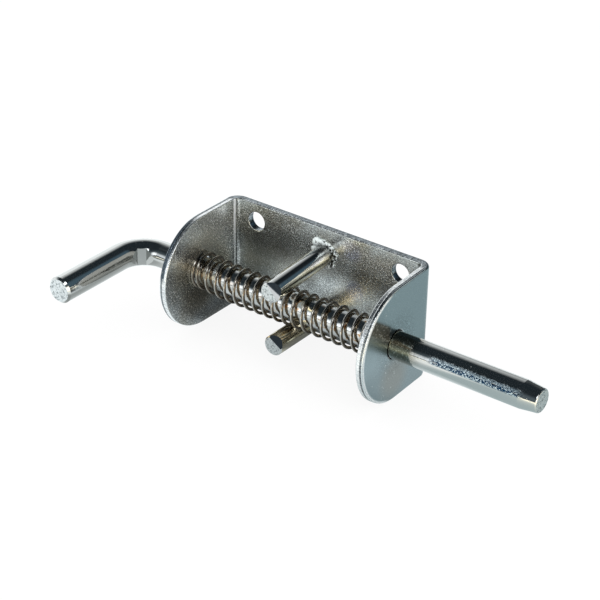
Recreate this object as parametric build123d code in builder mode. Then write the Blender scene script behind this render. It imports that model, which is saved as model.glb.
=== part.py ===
from build123d import *
import os
from math import cos, pi, radians, sin, tan

# Spring latch in zinc-plated steel, sizes in millimetres.
# The origin is the middle of the back plate's rear face. +X runs along the bolt to its tip,
# +Y points into the surface that the latch is fixed to, and +Z is up.

# Bracket, folded from one sheet
sheet = 3.5
plate_length = 103.5
bracket_height = 51.5
ear_depth = 52.0
bend_radius = 2.7
ear_splay = 1.9  # degrees that the tip-side ear leans outwards
edge_round = 0.8  # soft edge that the press leaves along the sheet's outer side
hole_spacing_x = 75.0
hole_spacing_z = 35.0
fixing_hole_radius = 4.25

# Bolt, a bar bent into a handle
bolt_radius = 6.0
bolt_axis_y = -27.2
bolt_tip_x = 121.2
tip_taper_length = 8.0
tip_end_radius = 5.1
tip_edge_round = 0.7
handle_x = -83.5
handle_reach = 52.3  # from the bolt's axis to the handle's end
handle_bend_radius = 14.0
handle_end_chamfer = 0.9
ear_hole_clearance = 0.5

# Flats that the bending tool presses into the inside of the handle's bend
press_depth = 1.5
press_width = 3.8
press_side_angle = 47.0
press_side_length = 12.0

# Studs that the cross pin rests behind, sheared from bar and welded to the plate by hand
stud_radius = 4.5
upper_stud_x = -0.8
lower_stud_x = 0.3
upper_stud_length = 42.0
lower_stud_length = 37.0
upper_stud_lean = 3.6  # degrees towards the bolt's tip, as the upper one was welded on
lower_stud_lean = 0.0
stud_end_chamfer = 0.5
shear_slope = 35.0  # degrees between the end face and the slope that the shear leaves
upper_shear_chord = 1.0  # from the stud's middle to the edge of that slope
lower_shear_chord = 1.9
upper_shear_side = 41.0  # degrees from the tip side towards the top
lower_shear_side = 58.0
weld_leg = 2.1
weld_bulge_radius = 4.0  # the swelling of the bead's outer side
weld_root = 1.0  # how far the bead is drawn into the stud before the stud is cut out of it
weld_lumps = 11
weld_lump_radius = 1.5
weld_lump_variation = 0.25
weld_lump_rhythm = 2.3  # radians of size change from one lump to the next
weld_lump_lift = 0.5  # height of the lumps' centres above the plate
weld_lump_inset = 1.1  # how far the lumps' centres lie inside the bead's foot

# Cross pin and washer that carry the spring's thrust
pin_radius = 2.0
pin_length = 28.0
pin_wall = 0.8
pin_slot = 0.9
pin_chamfer = 0.35
pin_seat_gap = 0.05
washer_thickness = 1.5
washer_clearance = 0.3
washer_margin = 0.6  # how far the washer reaches past the spring
stud_clearance = 0.4  # between the passing washer and the studs

# Compression spring with closed, ground ends
wire_radius = 0.7
spring_clearance = 1.0
spring_rest_gap = 0.3  # left above the bolt, on which the spring hangs
closed_turns = 0.5
closed_gap = 0.06
easing_turns = 1.0
easing_steps = 4
active_turns = 16.31
ground_depth = 0.35
spring_start_angle = 92.0  # degrees about the bolt from the wall side towards the top

# Places worked out from the sizes
inner_left_x = -plate_length / 2 + sheet
splay_slope = tan(radians(ear_splay))
sheet_across = sheet / cos(radians(ear_splay))
ear_hole_radius = bolt_radius + ear_hole_clearance
coil_radius = bolt_radius + spring_clearance + wire_radius
washer_radius = coil_radius + wire_radius + washer_margin
spring_hang = spring_clearance - spring_rest_gap
stud_height = washer_radius + stud_clearance + stud_radius  # above and below the bolt's axis


def right_ear_inner_x(y):
    """The inner face of the tip-side ear, y millimetres in front of the plate's rear face."""
    return plate_length / 2 - y * splay_slope - sheet_across


# The rear end of the pin is the first part of it to meet the leaning ear.
pin_x = right_ear_inner_x(bolt_axis_y + pin_length / 2) - pin_radius - pin_seat_gap
washer_x = pin_x - pin_radius - washer_thickness

os.makedirs("parts", exist_ok=True)

# Bracket: the folded strip seen from above, pulled up to its height and trimmed to the
# ears' side view
nose_radius = bracket_height / 2
nose_centre_y = -ear_depth + nose_radius
with BuildPart() as bracket:
    with BuildSketch(Plane.XY.offset(-bracket_height / 2)):
        with BuildLine():
            FilletPolyline(
                (-plate_length / 2, -ear_depth),
                (-plate_length / 2, 0),
                (plate_length / 2, 0),
                (plate_length / 2 + ear_depth * splay_slope, -ear_depth),
                radius=bend_radius + sheet,
            )
            offset(amount=sheet, side=Side.RIGHT)
        make_face()
    extrude(amount=bracket_height)
    with BuildSketch(Plane.YZ.offset(-plate_length)):
        with Locations((nose_centre_y, 0)):
            Circle(nose_radius)
        with Locations((nose_centre_y / 2, 0)):
            Rectangle(-nose_centre_y, bracket_height)
    extrude(amount=2 * plate_length, mode=Mode.INTERSECT)
    ear_faces = bracket.faces().sort_by(Axis.X)
    outer_faces = ShapeList([ear_faces[0], ear_faces[-1], bracket.faces().sort_by(Axis.Y)[-1]])
    bend_arcs = bracket.edges().filter_by(GeomType.CIRCLE).filter_by(Plane.XY).group_by(SortBy.RADIUS)[-1]
    fillet(outer_faces.edges().filter_by(Axis.Z, reverse=True) + bend_arcs, radius=edge_round)
    with BuildSketch(Plane.YZ.offset(-plate_length)):
        with Locations((bolt_axis_y, 0)):
            Circle(ear_hole_radius)
    extrude(amount=2 * plate_length, mode=Mode.SUBTRACT)
    with BuildSketch(Plane.XZ):
        with GridLocations(hole_spacing_x, hole_spacing_z, 2, 2):
            Circle(fixing_hole_radius)
    extrude(amount=sheet, mode=Mode.SUBTRACT)
bracket.part.label = "bracket"
export_step(bracket.part, "parts/bracket.step")

# Bolt: one bar, straight through both ears, bent forward into the handle
with BuildPart() as bolt:
    with BuildLine() as bar_path:
        FilletPolyline(
            (bolt_tip_x - tip_taper_length, bolt_axis_y),
            (handle_x, bolt_axis_y),
            (handle_x, bolt_axis_y - handle_reach),
            radius=handle_bend_radius,
        )
    tip_start = Plane(origin=bar_path.line @ 0, z_dir=(1, 0, 0))
    with BuildSketch(tip_start):
        Circle(bolt_radius)
    sweep()
    chamfer(bolt.faces().sort_by(Axis.Y)[0].edges(), length=handle_end_chamfer)
    with BuildSketch(tip_start):
        Circle(bolt_radius)
    with BuildSketch(tip_start.offset(tip_taper_length)):
        Circle(tip_end_radius)
    loft()
    fillet(bolt.faces().sort_by(Axis.X)[-1].edges(), radius=tip_edge_round)
    # the bending tool's flats, square to the line that halves the bend
    bend_centre = (handle_x + handle_bend_radius, bolt_axis_y - handle_bend_radius)
    press_front = handle_bend_radius - bolt_radius + press_depth
    press_back = press_front - press_side_length * sin(radians(press_side_angle))
    press_reach = press_width / 2 + press_side_length * cos(radians(press_side_angle))
    with BuildSketch(Plane(origin=(*bend_centre, -2 * bolt_radius), x_dir=(-1, 1, 0), z_dir=(0, 0, 1))):
        with BuildLine():
            Polyline(
                (press_back, -press_reach),
                (press_front, -press_width / 2),
                (press_front, press_width / 2),
                (press_back, press_reach),
                close=True,
            )
        make_face()
    extrude(amount=4 * bolt_radius, mode=Mode.SUBTRACT)
    with BuildSketch(Plane.XZ.offset(-bolt_axis_y)):
        with Locations((pin_x, 0)):
            Circle(pin_radius)
    extrude(amount=2 * bolt_radius, both=True, mode=Mode.SUBTRACT)
bolt.part.label = "bolt"
export_step(bolt.part, "parts/bolt.step")

# Cross pin: a slotted spring pin, its slot towards the tip
with BuildPart() as cross_pin:
    with BuildSketch(Plane.XZ.offset(-bolt_axis_y - pin_length / 2)):
        with Locations((pin_x, 0)):
            Circle(pin_radius)
    extrude(amount=pin_length)
    chamfer(cross_pin.edges().filter_by(GeomType.CIRCLE), length=pin_chamfer)
    with BuildSketch(Plane.XZ.offset(-bolt_axis_y - pin_length / 2)):
        with Locations((pin_x, 0)):
            Circle(pin_radius - pin_wall)
        with Locations((pin_x + pin_radius, 0)):
            Rectangle(2 * pin_radius, pin_slot)
    extrude(amount=pin_length, mode=Mode.SUBTRACT)
cross_pin.part.label = "cross_pin"
export_step(cross_pin.part, "parts/cross_pin.step")

# Washer between the spring and the cross pin
with BuildPart() as retaining_washer:
    with BuildSketch(Plane.YZ.offset(washer_x)):
        with Locations((bolt_axis_y, 0)):
            Circle(washer_radius)
            Circle(bolt_radius + washer_clearance, mode=Mode.SUBTRACT)
    extrude(amount=washer_thickness)
retaining_washer.part.label = "retaining_washer"
export_step(retaining_washer.part, "parts/retaining_washer.step")

# Studs: round bars that stand on the plate, with the weld round each foot
studs = (
    ("upper", upper_stud_x, stud_height, upper_stud_length,
     upper_stud_lean, upper_shear_chord, upper_shear_side),
    ("lower", lower_stud_x, -stud_height, lower_stud_length,
     lower_stud_lean, lower_shear_chord, lower_shear_side),
)
for name, stud_x, stud_z, length, lean_degrees, shear_chord, shear_side in studs:
    lean = radians(lean_degrees)
    foot_plane = Plane(origin=(stud_x, -sheet, stud_z), z_dir=(sin(lean), -cos(lean), 0))
    with BuildPart() as stud:
        with BuildSketch(foot_plane.offset(-sheet)):
            Circle(stud_radius)
        extrude(amount=sheet + length)
        chamfer(stud.faces().sort_by(Axis.Y)[0].edges(), length=stud_end_chamfer)
        split(bisect_by=Plane.XZ.offset(sheet), keep=Keep.TOP)
        # the slope on the side from which the shear came
        sideways = Vector(cos(radians(shear_side)), 0, sin(radians(shear_side)))
        slope_origin = foot_plane.origin + foot_plane.z_dir * length + sideways * shear_chord
        slope_normal = foot_plane.z_dir * cos(radians(shear_slope)) + sideways * sin(radians(shear_slope))
        split(bisect_by=Plane(origin=slope_origin, z_dir=slope_normal), keep=Keep.BOTTOM)
    stud.part.label = f"{name}_stud"
    export_step(stud.part, f"parts/{name}_stud.step")

    foot_radius = stud_radius + weld_leg
    with BuildPart() as weld:
        with BuildSketch(Plane.XY.offset(stud_z)):
            with BuildLine():
                root_x = stud_x + stud_radius - weld_root
                foot_x = stud_x + foot_radius
                Polyline((root_x, -sheet - weld_leg), (root_x, -sheet), (foot_x, -sheet))
                RadiusArc((foot_x, -sheet), (root_x, -sheet - weld_leg), weld_bulge_radius)
            make_face()
        revolve(axis=Axis((stud_x, 0, stud_z), (0, 1, 0)))
        for lump in range(weld_lumps):
            around = 2 * pi * lump / weld_lumps
            out = foot_radius - weld_lump_inset
            lump_radius = weld_lump_radius * (1 + weld_lump_variation * sin(weld_lump_rhythm * lump))
            with Locations((stud_x + out * cos(around), -sheet - weld_lump_lift, stud_z + out * sin(around))):
                Sphere(lump_radius)
        split(bisect_by=Plane.XZ.offset(sheet), keep=Keep.TOP)
        with BuildSketch(foot_plane.offset(-sheet)):
            Circle(stud_radius)
        extrude(amount=sheet + length, mode=Mode.SUBTRACT)
    weld.part.label = f"{name}_weld"
    export_step(weld.part, f"parts/{name}_weld.step")


def around_spring(x, turns):
    """A plane square to the spring at x, its first direction towards the wire after some turns."""
    angle = radians(spring_start_angle + 360 * turns)
    return Plane(origin=(x, bolt_axis_y, -spring_hang), x_dir=(0, cos(angle), sin(angle)), z_dir=(1, 0, 0))


# Spring: a closed half turn at each end, which eases into the open turns, ends ground flat
closed_pitch = 2 * wire_radius + closed_gap
wire_start_x = inner_left_x + wire_radius - ground_depth
wire_end_x = washer_x - wire_radius + ground_depth
wire_span = wire_end_x - wire_start_x
open_pitch = (wire_span - (2 * closed_turns + easing_turns) * closed_pitch) / (active_turns + easing_turns)
easing = []
for step in range(easing_steps):
    share = (step + 0.5) / easing_steps
    easing.append((easing_turns / easing_steps, closed_pitch + share * (open_pitch - closed_pitch)))
stretches = [(closed_turns, closed_pitch), *easing, (active_turns, open_pitch)]
stretches += [*reversed(easing), (closed_turns, closed_pitch)]
turns_done = 0
wire_x = wire_start_x
coils = []
for turns, pitch in stretches:
    coils.append(around_spring(wire_x, turns_done) * Helix(pitch, turns * pitch, coil_radius))
    turns_done += turns
    wire_x += turns * pitch
wire_path = Wire([coil.edge() for coil in coils])
with BuildPart() as spring:
    with BuildSketch(Plane(origin=wire_path @ 0, z_dir=wire_path % 0)):
        Circle(wire_radius)
    sweep(path=wire_path, is_frenet=True)
    split(bisect_by=Plane.YZ.offset(inner_left_x), keep=Keep.TOP)
    split(bisect_by=Plane.YZ.offset(washer_x), keep=Keep.BOTTOM)
spring.part.label = "spring"
export_step(spring.part, "parts/spring.step")
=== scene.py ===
from math import cos, pi, radians, sin, tan

import bpy
from mathutils import Matrix, Vector


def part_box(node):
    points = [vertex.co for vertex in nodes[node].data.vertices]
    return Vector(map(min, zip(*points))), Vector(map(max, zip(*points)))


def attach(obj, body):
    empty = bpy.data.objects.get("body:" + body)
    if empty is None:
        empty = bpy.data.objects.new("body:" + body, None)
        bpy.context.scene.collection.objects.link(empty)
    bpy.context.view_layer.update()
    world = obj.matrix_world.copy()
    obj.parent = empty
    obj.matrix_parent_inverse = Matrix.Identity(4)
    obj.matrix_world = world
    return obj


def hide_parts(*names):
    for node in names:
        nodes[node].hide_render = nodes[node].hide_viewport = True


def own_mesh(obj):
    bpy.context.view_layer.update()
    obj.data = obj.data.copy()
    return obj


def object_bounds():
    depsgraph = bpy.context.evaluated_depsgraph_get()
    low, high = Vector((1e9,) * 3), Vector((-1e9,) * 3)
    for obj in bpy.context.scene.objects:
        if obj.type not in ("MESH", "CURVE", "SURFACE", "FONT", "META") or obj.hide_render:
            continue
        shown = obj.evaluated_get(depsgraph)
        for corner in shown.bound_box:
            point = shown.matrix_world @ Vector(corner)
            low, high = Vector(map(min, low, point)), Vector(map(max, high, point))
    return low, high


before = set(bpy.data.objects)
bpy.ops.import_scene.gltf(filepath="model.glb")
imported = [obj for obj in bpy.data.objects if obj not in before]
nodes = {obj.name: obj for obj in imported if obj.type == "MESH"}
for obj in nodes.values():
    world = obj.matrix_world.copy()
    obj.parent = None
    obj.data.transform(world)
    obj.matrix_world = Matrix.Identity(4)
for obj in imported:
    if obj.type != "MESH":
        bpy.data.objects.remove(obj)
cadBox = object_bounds()
mm = 0.001

# sizes of the latch that the pieces here follow, in millimetres
latch = {
    "sheet": 3.5,
    "plateLength": 103.5,
    "height": 51.5,
    "earDepth": 52.0,
    "bendOuter": 6.2,
    "earSplay": 1.9,
    "boltY": -27.2,
    "studRadius": 4.5,
}


def deselectAll():
    if bpy.context.object and bpy.context.object.mode != "OBJECT":
        bpy.ops.object.mode_set(mode="OBJECT")
    bpy.ops.object.select_all(action="DESELECT")


# Node helpers: every one takes sockets or plain numbers


def plug(tree, value, socket):
    if isinstance(value, bpy.types.NodeSocket):
        tree.links.new(value, socket)
    elif value is not None:
        socket.default_value = value


def calc(tree, operation, a, b=None, clamp=False):
    node = tree.nodes.new("ShaderNodeMath")
    node.operation = operation
    node.use_clamp = clamp
    plug(tree, a, node.inputs[0])
    plug(tree, b, node.inputs[1])
    return node.outputs[0]


def vector(tree, operation, a, b=None):
    node = tree.nodes.new("ShaderNodeVectorMath")
    node.operation = operation
    plug(tree, a, node.inputs[0])
    plug(tree, b, node.inputs[1])
    return node.outputs["Value" if operation in ("DOT_PRODUCT", "LENGTH") else "Vector"]


def fade(tree, value, start, end, low=0.0, high=1.0):  # runs softly from low at start to high at end
    node = tree.nodes.new("ShaderNodeMapRange")
    node.interpolation_type = "SMOOTHSTEP"
    plug(tree, value, node.inputs["Value"])
    for name, number in (("From Min", start), ("From Max", end), ("To Min", low), ("To Max", high)):
        plug(tree, number, node.inputs[name])
    return node.outputs["Result"]


def blendColour(tree, share, a, b):
    node = tree.nodes.new("ShaderNodeMix")
    node.data_type = "RGBA"
    plug(tree, share, node.inputs[0])
    plug(tree, (*a, 1) if isinstance(a, tuple) else a, node.inputs[6])
    plug(tree, (*b, 1) if isinstance(b, tuple) else b, node.inputs[7])
    return node.outputs[2]


def mixed(tree, share, a, b):
    node = tree.nodes.new("ShaderNodeMix")
    plug(tree, share, node.inputs[0])
    plug(tree, a, node.inputs[2])
    plug(tree, b, node.inputs[3])
    return node.outputs[0]


def product(tree, *shares):
    result = shares[0]
    for share in shares[1:]:
        result = calc(tree, "MULTIPLY", result, share)
    return result


def span(tree, value, first, full, less, last):  # comes in between the first two, goes between the last two
    return product(tree, fade(tree, value, first, full), fade(tree, value, last, less))


def fadeAlong(tree, value, start, end, low=0.0, high=1.0):  # fade by a coordinate, in millimetres
    return fade(tree, value, start * mm, end * mm, low, high)


def spanAlong(tree, value, numbers):  # span by a coordinate, in millimetres
    return span(tree, value, *(number * mm for number in numbers))


def away(tree, coords, place):  # distance from a place in millimetres
    return vector(tree, "LENGTH", vector(tree, "SUBTRACT", coords, tuple(number * mm for number in place)))


def awayFromAxis(tree, coords, y, z=0.0):  # distance from a line along X, given in millimetres
    return away(tree, vector(tree, "MULTIPLY", coords, (0, 1, 1)), (0, y, z))


def tinted(tree, colour, paintedLighting):  # the colour times a number
    node = tree.nodes.new("ShaderNodeVectorMath")
    node.operation = "SCALE"
    plug(tree, colour, node.inputs[0])
    plug(tree, paintedLighting, node.inputs["Scale"])
    return node.outputs[0]


def lightened(tree, colour, share):
    return tinted(tree, colour, calc(tree, "ADD", 1.0, share))


def darkened(tree, colour, share):
    return tinted(tree, colour, calc(tree, "SUBTRACT", 1.0, share))


def objectCoords(tree):
    return tree.nodes.new("ShaderNodeTexCoord").outputs["Object"]


def split(tree, coords):
    node = tree.nodes.new("ShaderNodeSeparateXYZ")
    plug(tree, coords, node.inputs[0])
    return node.outputs[0], node.outputs[1], node.outputs[2]


def stretched(tree, coords, scale):
    node = tree.nodes.new("ShaderNodeMapping")
    plug(tree, coords, node.inputs["Vector"])
    node.inputs["Scale"].default_value = scale
    return node.outputs[0]


def grain(tree, coords, size, detail=2.0, rough=0.5):  # noise around 0.5, in features of about size mm
    node = tree.nodes.new("ShaderNodeTexNoise")
    plug(tree, coords, node.inputs["Vector"])
    node.inputs["Scale"].default_value = 1 / (size * mm)
    node.inputs["Detail"].default_value = detail
    node.inputs["Roughness"].default_value = rough
    return node.outputs["Fac"]


def specks(tree, coords, size, share, radius):  # small round grains, in some cells of about size mm
    node = tree.nodes.new("ShaderNodeTexVoronoi")
    plug(tree, coords, node.inputs["Vector"])
    node.inputs["Scale"].default_value = 1 / (size * mm)
    dot = fade(tree, node.outputs["Distance"], radius, radius * 0.4)
    chosen = calc(tree, "LESS_THAN", split(tree, node.outputs["Color"])[0], share)
    return calc(tree, "MULTIPLY", dot, chosen)


def bump(tree, height, depth, under=None):  # depth is the height in millimetres between black and white
    node = tree.nodes.new("ShaderNodeBump")
    plug(tree, height, node.inputs["Height"])
    node.inputs["Distance"].default_value = depth * mm
    plug(tree, under, node.inputs["Normal"])
    return node.outputs[0]


def bumps(tree, *heights):  # pairs of a height and its depth, one over the other
    surface = None
    for height, depth in heights:
        surface = bump(tree, height, depth, surface)
    return surface


def startMetal(name):
    material = bpy.data.materials.new(name)
    material.use_nodes = True
    tree = material.node_tree
    shader = tree.nodes["Principled BSDF"]
    shader.inputs["Metallic"].default_value = 1.0
    return material, tree, shader


def selectOnly(*things):
    deselectAll()
    for thing in things:
        thing.select_set(True)
    bpy.context.view_layer.objects.active = things[0]


def applyAll(piece):
    selectOnly(piece)
    for modifier in list(piece.modifiers):
        bpy.ops.object.modifier_apply(modifier=modifier.name)


def join(name, pieces):
    selectOnly(*pieces)
    bpy.ops.object.join()
    piece = bpy.context.object
    piece.name = name
    bpy.ops.object.transform_apply(location=True, rotation=True, scale=True)
    return piece


def cutOff(piece, point, normal):  # drops what lies on the normal's side and closes the cut
    selectOnly(piece)
    bpy.ops.object.mode_set(mode="EDIT")
    bpy.ops.mesh.select_all(action="SELECT")
    bpy.ops.mesh.bisect(plane_co=point, plane_no=normal, use_fill=True, clear_outer=True)
    bpy.ops.object.mode_set(mode="OBJECT")


def finish(piece, node, body, material):
    piece.data.materials.clear()
    piece.data.materials.append(material)
    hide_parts(node)
    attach(piece, body)
    print(piece.name, len(piece.data.polygons), "faces")


# Stage: a white floor, the room that the metal mirrors, the lamps and the camera

stage = {
    "floorSize": 4.0,
    "floorDrop": 0.02,  # millimetres under the latch, so that the faces don't fight
    # what polished metal sees of the floor: painted light and shade, as tones that come in one over the
    # other
    "floorNear": (0.55, 0.60, 0.61),
    "floorFar": (0.20, 0.23, 0.25),
    "floorLeft": (1.10, 1.16, 1.18),
    "floorWarm": (1.02, 1.06, 1.04),
    "floorRight": (0.40, 0.50, 0.515),
    "floorWindow": (2.0, 1.85, 1.45),  # far off towards the window, where the floor shines
    # tone, its direction in degrees round from +Y, and how many millimetres that way it comes in and is full
    "floorTones": (
        ("floorFar", 180, 90, 260),
        ("floorLeft", -53, -30, 80),
        ("floorWarm", 155, 62, 110),
        ("floorRight", 90, 36, 66),
        ("floorWindow", 125, 105, 260),
    ),
    "floorFoot": (0.76, 0.84, 0.86),  # a painted pool of light under the bolt's tip
    "footAt": (64.0, -10.0),
    "footReach": (34.0, 10.0),
    "floorShaded": (0.105, 0.12, 0.13),  # the shade between the ears
    "shadeX": (-58.0, -44.0, 38.0, 54.0),  # millimetres, where it begins, is full, fades and ends
    "shadeY": (-36.0, -22.0, 20.0, 60.0),
    "backdropSeen": (1.18, 1.22, 1.23),
    "backdropAround": (-125.0, -99.0, -38.0, -16.0),  # degrees round from +Y
    "backdropTop": (25.0, 57.0),  # degrees up, between which it fades out
    "roomDark": (0.018, 0.026, 0.032),
    "roomHorizon": (0.11, 0.14, 0.16),
    "horizonAt": -160.0,  # degrees round to its middle
    "horizonWidth": (0.1, 0.6),  # cosines of the angle from there, between which it comes in
    "horizonTop": (20.0, 50.0),
    "windowSeen": (3.0, 2.8, 2.4),
    "windowAround": (86.0, 98.0, 144.0, 154.0),
    "windowTop": (12.0, 24.0),
    "keySeen": (5.0, 5.2, 5.4),  # a small lamp high in front, which only curved edges mirror
    "keyAt": (155.0, 46.0),
    "keyReach": (7.0, 14.0),  # degrees from its middle
    "glowSeen": (0.075, 0.125, 0.165),  # a faint glow behind on the right, which the handle mirrors
    "glowAt": (39.0, 26.0),
    "glowReach": (3.0, 24.0),
    "roomFoot": (0.0, -0.02),  # sines of the angle up, between which the far floor takes over
    "worldLight": 1.3,
    "floorSeenByCamera": 0.885,
    "floorTint": 0.11,
}


def direction(azimuth, elevation=0.0):
    a, e = radians(azimuth), radians(elevation)
    return Vector((sin(a) * cos(e), cos(a) * cos(e), sin(e)))


def below(tree, up, angles):  # full up to the first angle over the horizon, and gone at the second
    full, gone = (sin(radians(angle)) for angle in angles)
    return fade(tree, up, gone, full)


def closeTo(tree, toward, at, reach):  # full within the first angle from a direction, and gone at the second
    full, gone = (cos(radians(angle)) for angle in reach)
    return fade(tree, vector(tree, "DOT_PRODUCT", toward, direction(*at)), gone, full)


def makeWorld():
    world = bpy.data.worlds.new("studioRoom")
    bpy.context.scene.world = world
    world.use_nodes = True
    tree = world.node_tree
    tree.nodes.clear()
    toward = tree.nodes.new("ShaderNodeTexCoord").outputs["Generated"]
    x, y, up = split(tree, toward)
    around = product(tree, calc(tree, "ARCTAN2", x, y), 180 / pi)
    front = vector(tree, "DOT_PRODUCT", toward, direction(stage["horizonAt"]))
    horizon = product(tree, below(tree, up, stage["horizonTop"]), fade(tree, front, *stage["horizonWidth"]))
    backdrop = span(tree, around, *stage["backdropAround"])
    backdrop = product(tree, backdrop, below(tree, up, stage["backdropTop"]))
    window = product(tree, span(tree, around, *stage["windowAround"]), below(tree, up, stage["windowTop"]))
    room = stage["roomDark"]
    for share, tone in (
        (horizon, "roomHorizon"),
        (backdrop, "backdropSeen"),
        (window, "windowSeen"),
        (closeTo(tree, toward, stage["keyAt"], stage["keyReach"]), "keySeen"),
        (closeTo(tree, toward, stage["glowAt"], stage["glowReach"]), "glowSeen"),
        (fade(tree, up, *stage["roomFoot"]), "floorFar"),
    ):
        room = blendColour(tree, share, room, stage[tone])
    path = tree.nodes.new("ShaderNodeLightPath")
    seen = blendColour(tree, path.outputs["Is Glossy Ray"], (stage["worldLight"],) * 3, room)
    seen = blendColour(tree, path.outputs["Is Camera Ray"], seen, (1.0, 1.0, 1.0))
    shade = tree.nodes.new("ShaderNodeBackground")
    plug(tree, seen, shade.inputs["Color"])
    output = tree.nodes.new("ShaderNodeOutputWorld")
    tree.links.new(shade.outputs[0], output.inputs[0])


def makeFloor():
    deselectAll()
    low = cadBox[0].z - stage["floorDrop"] * mm
    bpy.ops.mesh.primitive_plane_add(size=stage["floorSize"], location=(0, 0, low))
    floor = bpy.context.object
    floor.name = "floor"
    bpy.ops.object.transform_apply(location=True)
    material = bpy.data.materials.new("whiteFloor")
    material.use_nodes = True
    tree = material.node_tree
    tree.nodes.clear()
    coords = objectCoords(tree)
    x, y = split(tree, coords)[:2]
    seen = stage["floorNear"]
    for tone, azimuth, start, full in stage["floorTones"]:
        out = vector(tree, "DOT_PRODUCT", coords, direction(azimuth))
        seen = blendColour(tree, fadeAlong(tree, out, start, full), seen, stage[tone])
    toFoot = away(tree, coords, (*stage["footAt"], low / mm))
    seen = blendColour(tree, fadeAlong(tree, toFoot, *stage["footReach"]), seen, stage["floorFoot"])
    shaded = product(tree, spanAlong(tree, x, stage["shadeX"]), spanAlong(tree, y, stage["shadeY"]))
    seen = blendColour(tree, shaded, seen, stage["floorShaded"])
    path = tree.nodes.new("ShaderNodeLightPath")
    glow = tree.nodes.new("ShaderNodeEmission")
    white = (stage["floorSeenByCamera"],) * 3
    plug(tree, blendColour(tree, path.outputs["Is Camera Ray"], seen, white), glow.inputs["Color"])
    either = calc(tree, "MAXIMUM", path.outputs["Is Camera Ray"], path.outputs["Is Glossy Ray"])
    plug(tree, either, glow.inputs["Strength"])
    paper = tree.nodes.new("ShaderNodeBsdfDiffuse")
    paper.inputs["Color"].default_value = (*(stage["floorTint"],) * 3, 1)
    both = tree.nodes.new("ShaderNodeAddShader")
    tree.links.new(glow.outputs[0], both.inputs[0])
    tree.links.new(paper.outputs[0], both.inputs[1])
    output = tree.nodes.new("ShaderNodeOutputMaterial")
    tree.links.new(both.outputs[0], output.inputs[0])
    floor.data.materials.append(material)


# a white card in front on the left, which lights the fronts of the ears and the middle of the bolt
card = {
    "at": (-185, -340, 90),  # millimetres, as its size
    "aim": (0, -30, 0),
    "size": (300, 240),
    "bright": (1.75, 1.82, 1.88),
    "soft": (0.5, 0.08),  # shares of its sides out from the middle, between which it comes in
}


def makeCard():
    deselectAll()
    at, aim = Vector(card["at"]) * mm, Vector(card["aim"]) * mm
    bpy.ops.mesh.primitive_plane_add(size=1, location=at)
    board = bpy.context.object
    board.name = "reflectorCard"
    board.scale = (card["size"][0] * mm, card["size"][1] * mm, 1)
    board.rotation_euler = (aim - at).to_track_quat("-Z", "Y").to_euler()
    material = bpy.data.materials.new("cardGlow")
    material.use_nodes = True
    tree = material.node_tree
    tree.nodes.clear()
    out = vector(tree, "LENGTH", objectCoords(tree))
    glow = tree.nodes.new("ShaderNodeEmission")
    glow.inputs["Color"].default_value = (*card["bright"], 1)
    clear = tree.nodes.new("ShaderNodeBsdfTransparent")
    soft = tree.nodes.new("ShaderNodeMixShader")
    plug(tree, fade(tree, out, *card["soft"]), soft.inputs[0])
    tree.links.new(clear.outputs[0], soft.inputs[1])
    tree.links.new(glow.outputs[0], soft.inputs[2])
    output = tree.nodes.new("ShaderNodeOutputMaterial")
    tree.links.new(soft.outputs[0], output.inputs[0])
    board.data.materials.append(material)
    board.visible_camera = False
    board.visible_diffuse = False
    board.visible_shadow = False


lamps = {
    # place, aim and size in millimetres, and the brightness of its face
    "right": {"at": (420, -130, 260), "aim": (30, -20, 0), "size": (180, 180), "bright": 1.4},
}


def makeLamps():
    for name, lamp in lamps.items():
        deselectAll()
        at, aim = Vector(lamp["at"]) * mm, Vector(lamp["aim"]) * mm
        bpy.ops.object.light_add(type="AREA", location=at)
        light = bpy.context.object
        light.name = "lamp_" + name
        light.data.shape = "RECTANGLE"
        light.data.size, light.data.size_y = (side * mm for side in lamp["size"])
        light.data.energy = lamp["bright"] * pi * light.data.size * light.data.size_y
        light.rotation_euler = (aim - at).to_track_quat("-Z", "Y").to_euler()
        light.visible_camera = False


camera = {
    "at": (432.791, -616.923, 411.761),
    "azimuth": 36.02,
    "elevation": 29.241,
    "roll": 1.443,
    "lens": 120.514,
    "sensor": 36.0,
    "clip": (0.05, 20.0),  # metres
}


def makeCamera():
    bpy.ops.object.camera_add()
    eye = bpy.context.object
    eye.name = "photoCamera"
    eye.data.lens = camera["lens"]
    eye.data.sensor_width = camera["sensor"]
    look = direction(-camera["azimuth"], -camera["elevation"])
    right = look.cross(Vector((0, 0, 1))).normalized()
    up = right.cross(look)
    roll = radians(camera["roll"])
    right, up = cos(roll) * right + sin(roll) * up, cos(roll) * up - sin(roll) * right
    turn = Matrix((right, up, -look)).transposed()
    eye.matrix_world = Matrix.Translation(Vector(camera["at"]) * mm) @ turn.to_4x4()
    eye.data.clip_start, eye.data.clip_end = camera["clip"]
    bpy.context.scene.camera = eye


bpy.context.scene.view_settings.view_transform = "Standard"
makeWorld()
makeFloor()
makeCard()
makeLamps()
makeCamera()
print("stage ready")

# Bracket: zinc-plated sheet with a fine grain, and punched edges that are brighter and rougher

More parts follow.
